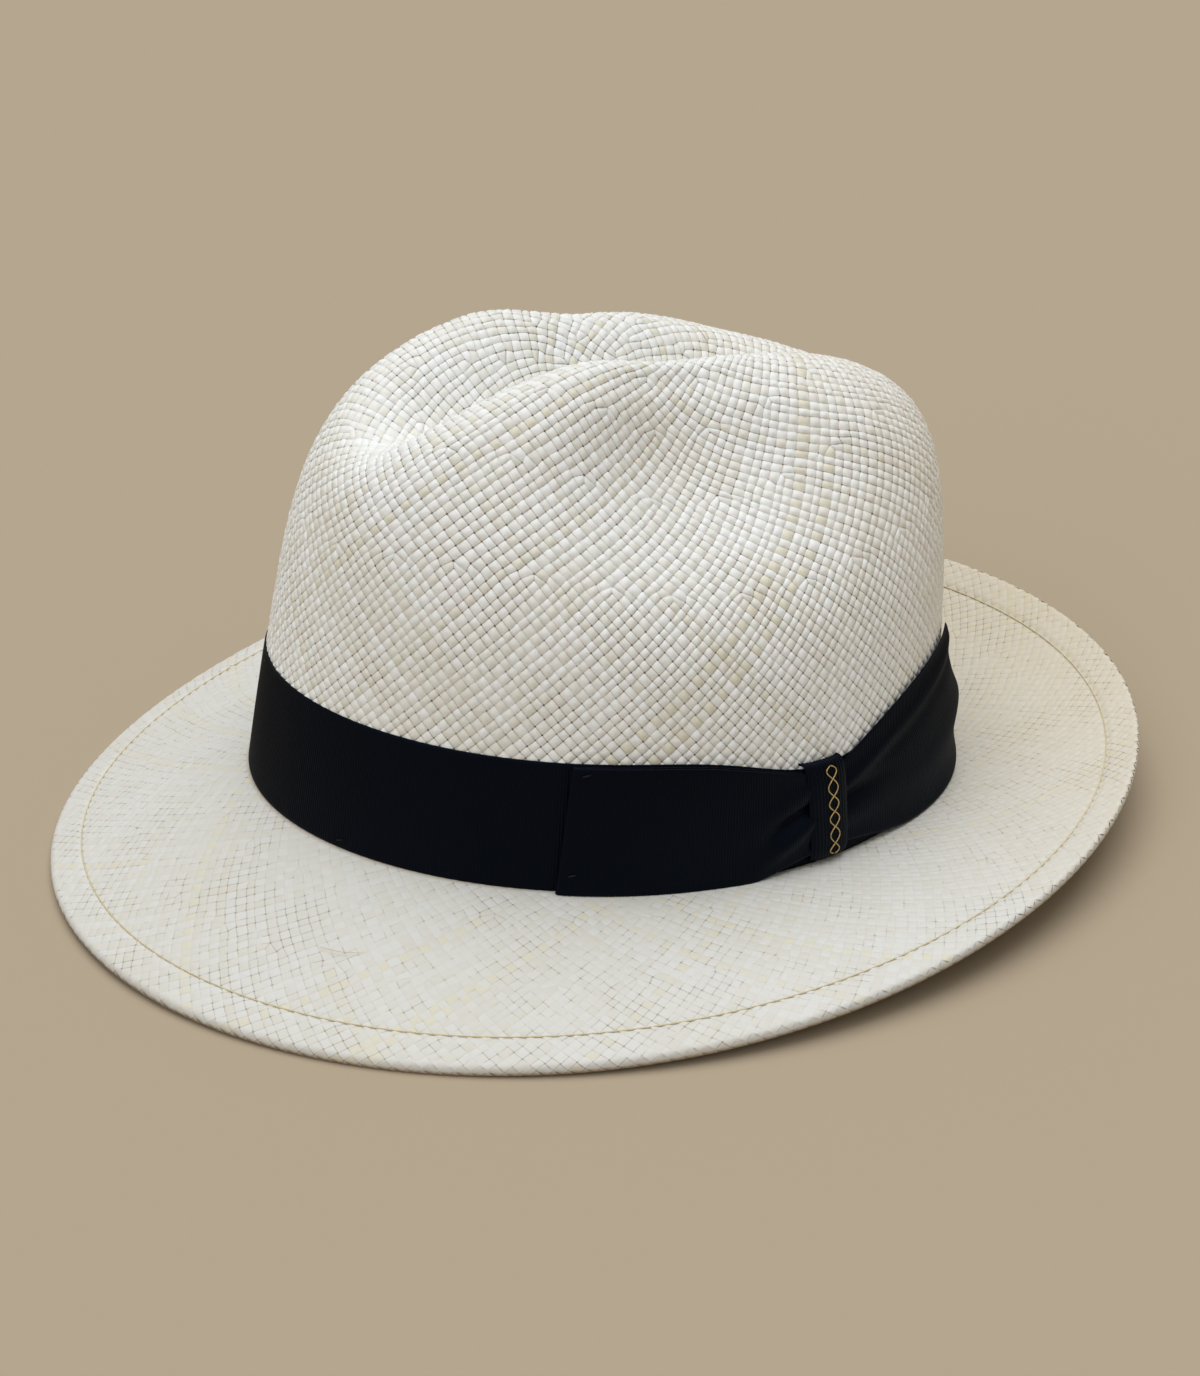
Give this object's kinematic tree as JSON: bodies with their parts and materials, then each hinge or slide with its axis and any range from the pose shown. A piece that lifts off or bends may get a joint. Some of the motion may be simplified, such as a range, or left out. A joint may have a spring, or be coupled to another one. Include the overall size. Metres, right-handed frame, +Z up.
{
  "type": "straw fedora hat",
  "caption": "Woven straw snap-brim fedora with a teardrop crown, ribbed dark ribbon band and side bow, a folded wired brim edge and a leather sweatband.",
  "frame": {"origin": "centre of the hat's outline on the surface it stands on", "axes": "+Z up, -Y towards the front of the brim, +X towards the wearer's left, where the bow is"},
  "size_m": [0.2823, 0.3177, 0.1404],
  "materials": {
    "straw": "matte",
    "wire": "drawn",
    "hem_thread": "matte",
    "ribbon": "ribbed silk",
    "dark_thread": "matte",
    "gold_thread": "metallic thread",
    "leather": "smooth",
    "reed": "matte",
    "tape": "matte",
    "pale_thread": "matte",
    "label": "satin"
  },
  "bodies": {
    "hat": {"straw_body": "straw", "brim_wire_rear": "wire", "hem_thread_rear": "hem_thread", "hatband": "ribbon", "hatband_tacks": "dark_thread", "bow_loop": "ribbon", "bow_loop_back": "ribbon", "bow_tail": "ribbon", "bow_keeper": "ribbon", "keeper_motif": "gold_thread", "bow_tacks": "dark_thread", "sweatband": "leather", "sweatband_reed": "reed", "reed_tape": "tape", "sweatband_thread": "pale_thread", "seam_tape": "tape", "sweatband_bow": "ribbon", "size_label": "label"},
    "snap_brim": {"brim_front": "straw", "brim_wire_front": "wire", "hem_thread_front": "hem_thread"}
  },
  "joints": [
    {"name": "brim_snap", "type": "hinge", "parent": "hat", "child": "snap_brim", "pos_m": [0.0016, -0.1095, 0.0232], "axis": [-1, 0, 0], "range_deg": [0, 35]}
  ]
}
